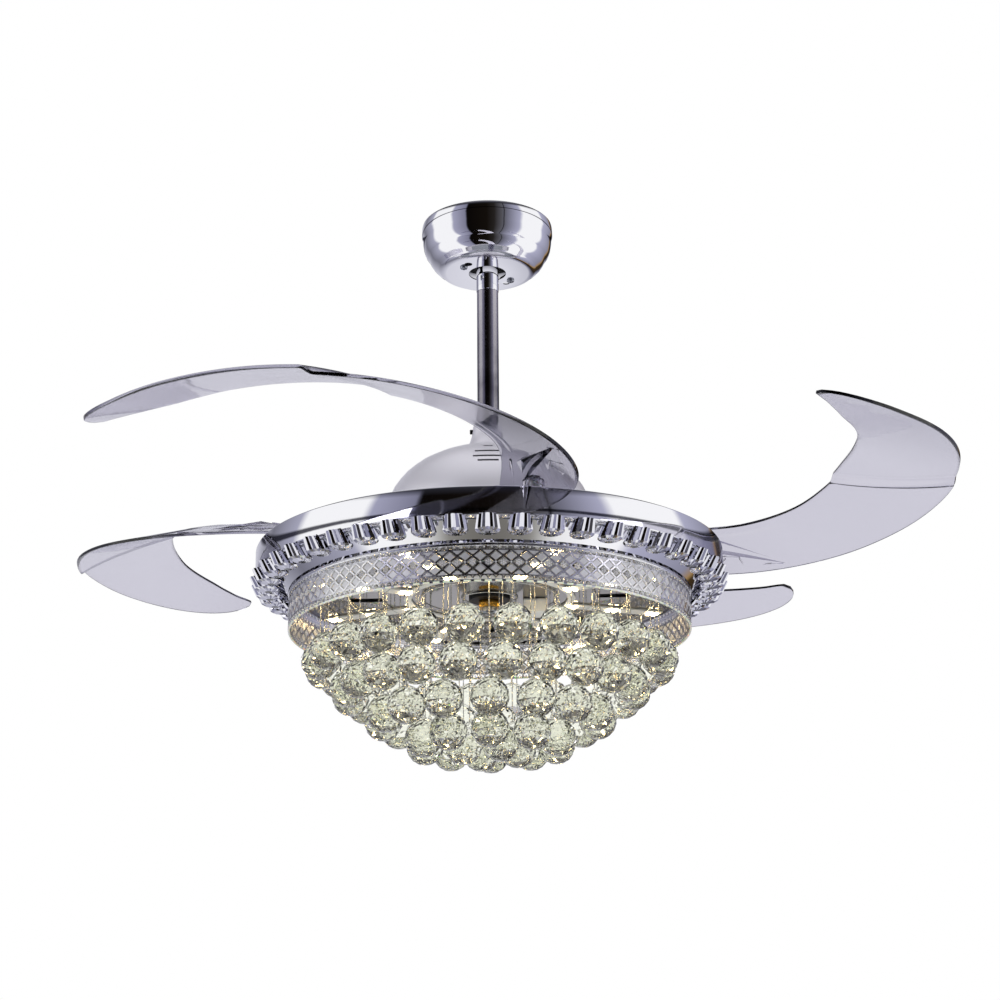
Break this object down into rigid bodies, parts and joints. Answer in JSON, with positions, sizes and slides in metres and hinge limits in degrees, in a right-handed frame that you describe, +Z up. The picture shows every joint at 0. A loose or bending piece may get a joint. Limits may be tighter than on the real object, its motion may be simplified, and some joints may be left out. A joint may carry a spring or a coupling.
{
  "type": "retractable blade ceiling fan",
  "caption": "Ceiling fan with clear sickle blades that swing out from a turning disc, over a round crystal lamp; hung on a rod from a ball in a ceiling canopy.",
  "frame": {"origin": "the middle of the bracket's flat top, on the ceiling, on the fan's axis", "axes": "+Z up into the ceiling; -Z down the rod; -Y towards the viewer; a pivot of the front blade is to the right of -Y"},
  "size_m": [0.9436, 0.9436, 0.617],
  "materials": {
    "zinc_steel": "zinc plated",
    "chrome": "polished",
    "satin_grey": "satin pearl",
    "black_steel": "blackened",
    "brass": "polished",
    "copper_wire": "enamelled copper wire",
    "laminations": "laminated steel",
    "ferrite": "sintered",
    "acrylic": "clear smoky lavender acrylic",
    "crystal": "cut clear glass",
    "mirror": "mirror polished",
    "white_plastic": "moulded",
    "nylon": "moulded",
    "black_plastic": "moulded"
  },
  "bodies": {
    "ceiling_mount": {"ceiling_bracket": "zinc_steel", "canopy": "chrome", "canopy_screw_1": "zinc_steel", "canopy_screw_2": "zinc_steel"},
    "swivel_ball": {"hanger_ball": "black_plastic", "hanger_cross_pin": "zinc_steel"},
    "hanging_frame": {"downrod": "chrome", "rod_coupling": "zinc_steel", "coupling_bolt": "zinc_steel", "motor_shaft": "zinc_steel", "motor_cover": "satin_grey", "neck_screw": "black_steel", "stator_core": "laminations", "winding_top": "copper_wire", "winding_bottom": "copper_wire", "bearing_top": "zinc_steel", "bearing_bottom": "zinc_steel", "lamp_tray": "satin_grey", "chrome_band": "chrome", "lamp_skirt": "chrome", "mirror_plate": "mirror", "filigree_ring": "chrome", "rim_crystals": "crystal", "standoff_1": "brass", "standoff_2": "brass", "standoff_3": "brass", "led_board": "white_plastic", "centre_washer": "black_plastic", "centre_nut": "brass", "led_driver": "white_plastic", "crystal_tier_1": "crystal", "crystal_tier_2": "crystal", "crystal_tier_3": "crystal", "crystal_tier_4": "crystal", "crystal_tier_5": "crystal"},
    "rotor": {"rotor_housing": "zinc_steel", "magnet_ring": "ferrite", "blade_disc": "zinc_steel", "blade_bush_1": "nylon", "pivot_bolt_1": "black_steel", "pivot_nut_1": "zinc_steel", "return_spring_1": "zinc_steel", "blade_bush_2": "nylon", "pivot_bolt_2": "black_steel", "pivot_nut_2": "zinc_steel", "return_spring_2": "zinc_steel", "blade_bush_3": "nylon", "pivot_bolt_3": "black_steel", "pivot_nut_3": "zinc_steel", "return_spring_3": "zinc_steel", "blade_bush_4": "nylon", "pivot_bolt_4": "black_steel", "pivot_nut_4": "zinc_steel", "return_spring_4": "zinc_steel"},
    "sickle_1": {"blade_1": "acrylic"},
    "sickle_2": {"blade_2": "acrylic"},
    "sickle_3": {"blade_3": "acrylic"},
    "sickle_4": {"blade_4": "acrylic"}
  },
  "joints": [
    {"name": "swing_side", "type": "hinge", "parent": "ceiling_mount", "child": "swivel_ball", "pos_m": [0, 0, -0.028], "axis": [1, 0, 0], "range_deg": [-5, 5]},
    {"name": "swing_front", "type": "hinge", "parent": "swivel_ball", "child": "hanging_frame", "pos_m": [0, 0, -0.028], "axis": [0, 1, 0], "range_deg": [-5, 5]},
    {"name": "rotor_spin", "type": "hinge", "parent": "hanging_frame", "child": "rotor", "pos_m": [0, 0, -0.39], "axis": [0, 0, 1], "continuous": true},
    {"name": "blade_fold_1", "type": "hinge", "parent": "rotor", "child": "sickle_1", "pos_m": [0.046, -0.1945, -0.37], "axis": [0, 0, 1], "range_deg": [-84, 0]},
    {"name": "blade_fold_2", "type": "hinge", "parent": "rotor", "child": "sickle_2", "pos_m": [0.1945, 0.046, -0.37], "axis": [0, 0, 1], "range_deg": [-84, 0]},
    {"name": "blade_fold_3", "type": "hinge", "parent": "rotor", "child": "sickle_3", "pos_m": [-0.046, 0.1945, -0.37], "axis": [0, 0, 1], "range_deg": [-84, 0]},
    {"name": "blade_fold_4", "type": "hinge", "parent": "rotor", "child": "sickle_4", "pos_m": [-0.1945, -0.046, -0.37], "axis": [0, 0, 1], "range_deg": [-84, 0]}
  ],
  "couplings": [
    {"joint": "blade_fold_2", "follows": "blade_fold_1", "ratio": 1},
    {"joint": "blade_fold_3", "follows": "blade_fold_1", "ratio": 1},
    {"joint": "blade_fold_4", "follows": "blade_fold_1", "ratio": 1}
  ]
}
